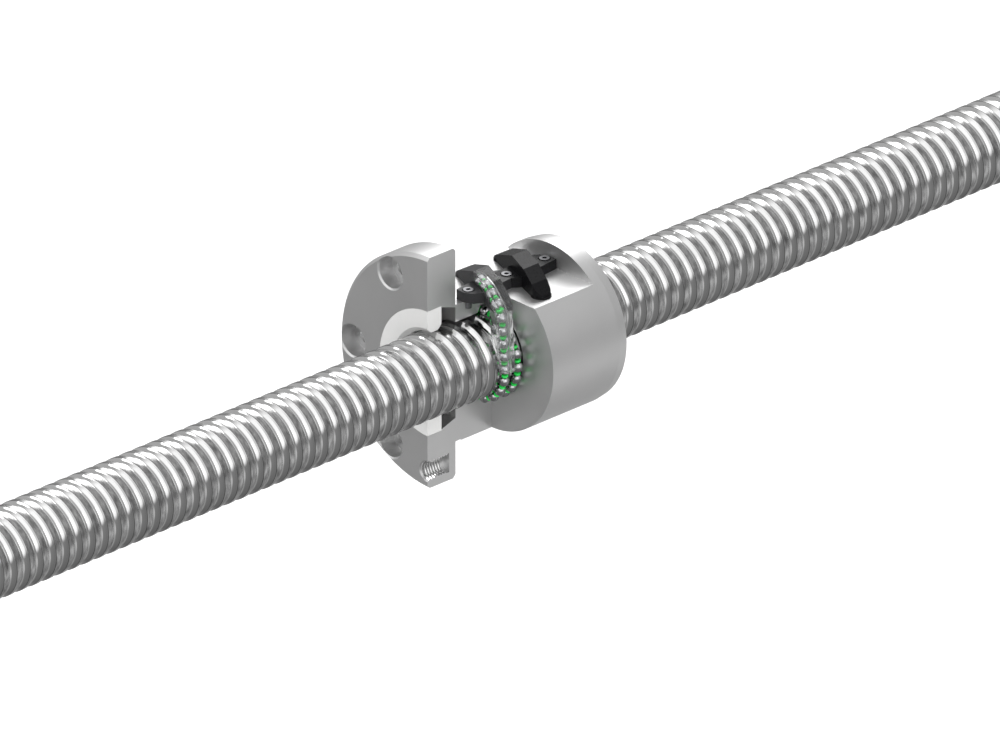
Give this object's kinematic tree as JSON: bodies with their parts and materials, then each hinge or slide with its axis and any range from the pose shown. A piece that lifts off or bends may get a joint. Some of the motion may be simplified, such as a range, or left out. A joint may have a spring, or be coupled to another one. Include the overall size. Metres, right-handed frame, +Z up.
{
  "type": "ball screw",
  "caption": "Ball screw with a flanged nut shown cut away, so that the balls, their spacers and the return paths over the nut's flat are open to view.",
  "frame": {"origin": "on the screw's axis, in the seating face of the nut's flange, with the nut in the middle of its travel", "axes": "+X along the screw from the drive end towards the supported end, +Z up through the nut's flat, +Y away from the cut-away side"},
  "size_m": [0.506, 0.061, 0.072],
  "materials": {
    "ground_steel": "ground and polished hardened steel",
    "spring_steel": "oiled dark spring steel",
    "nut_steel": "satin machined steel",
    "wiper_plastic": "white moulded plastic",
    "black_plastic": "black moulded plastic",
    "clear_plastic": "clear moulded plastic",
    "bright_steel": "bright plated steel",
    "ball_steel": "mirror-polished steel",
    "spacer_plastic": "bright green plastic"
  },
  "bodies": {
    "bearing_side": {"retaining_ring": "spring_steel"},
    "screw": {"screw_shaft": "ground_steel"},
    "nut": {"nut_body": "nut_steel", "front_wiper": "wiper_plastic", "rear_wiper": "wiper_plastic", "return_base_a": "black_plastic", "return_cover_a": "clear_plastic", "return_base_b": "black_plastic", "return_cover_b": "black_plastic", "clamp_screw_1": "bright_steel", "clamp_screw_2": "bright_steel", "clamp_screw_3": "bright_steel", "loaded_balls_a": "ball_steel", "loaded_balls_b": "ball_steel", "return_balls_a": "ball_steel", "return_balls_b": "ball_steel", "loaded_spacers_a": "spacer_plastic", "loaded_spacers_b": "spacer_plastic", "return_spacers_a": "spacer_plastic", "return_spacers_b": "spacer_plastic"}
  },
  "joints": [
    {"name": "screw_turn", "type": "hinge", "parent": "bearing_side", "child": "screw", "pos_m": [0, 0, 0], "axis": [1, 0, 0], "range_deg": [-10800, 10800]},
    {"name": "nut_travel", "type": "slide", "parent": "bearing_side", "child": "nut", "axis": [1, 0, 0], "range_m": [-0.15, 0.15]}
  ],
  "couplings": [
    {"joint": "nut_travel", "follows": "screw_turn", "m_per_rad": -0.00079577}
  ]
}
